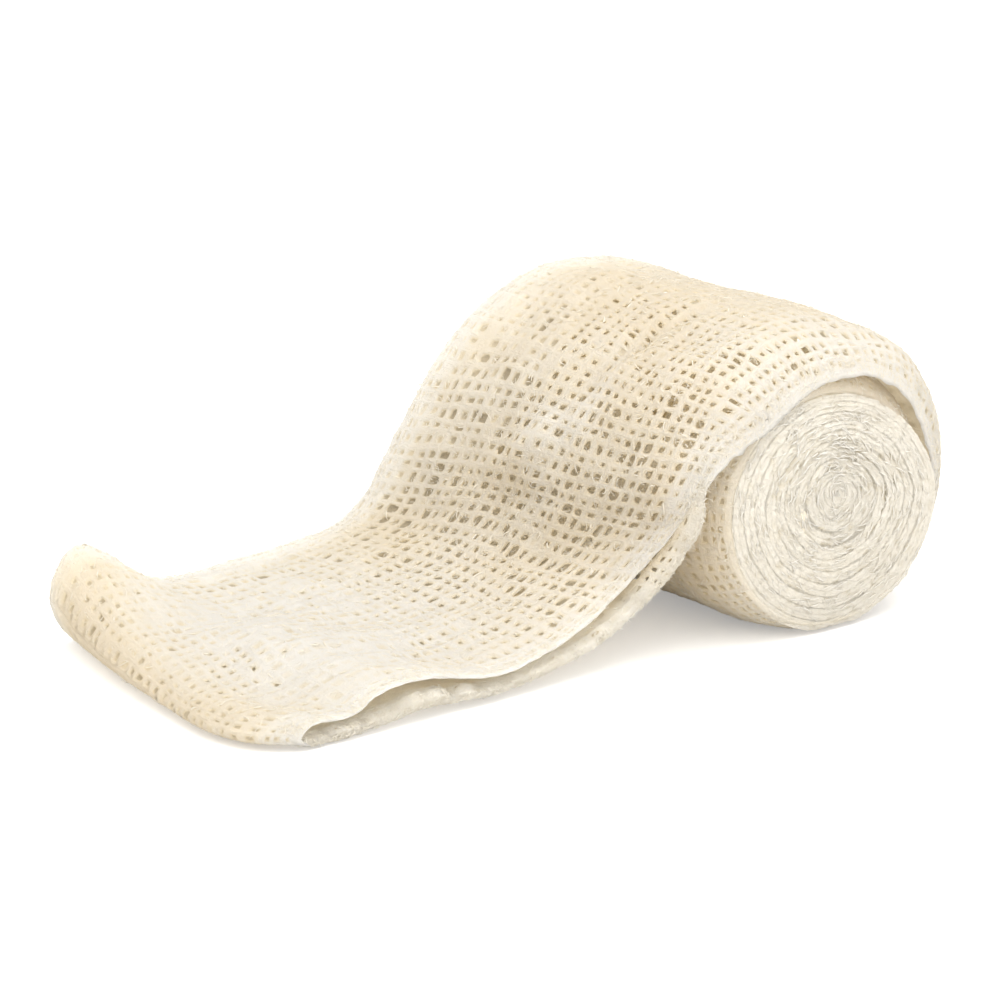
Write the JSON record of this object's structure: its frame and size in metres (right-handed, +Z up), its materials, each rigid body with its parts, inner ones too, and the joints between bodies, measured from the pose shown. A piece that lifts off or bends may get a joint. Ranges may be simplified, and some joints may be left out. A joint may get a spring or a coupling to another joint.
{
  "type": "crepe bandage roll",
  "caption": "Open-weave cotton crepe bandage folded double, rolled on its side with a loose outer turn and a folded end lying flat.",
  "frame": {"origin": "on the resting surface, under the middle of the roll", "axes": "+Y along the roll's axis, away from the end that shows its turns; -X towards the loose end; +Z up"},
  "size_m": [0.1069, 0.0567, 0.039],
  "materials": {
    "cloth": "open plain weave of soft undyed cotton yarns, matt",
    "roll": "wound open-weave cotton, the turns' selvedges soft and matt"
  },
  "bodies": {
    "root": {"wound_roll": "roll", "loose_end": "cloth"}
  },
  "joints": []
}
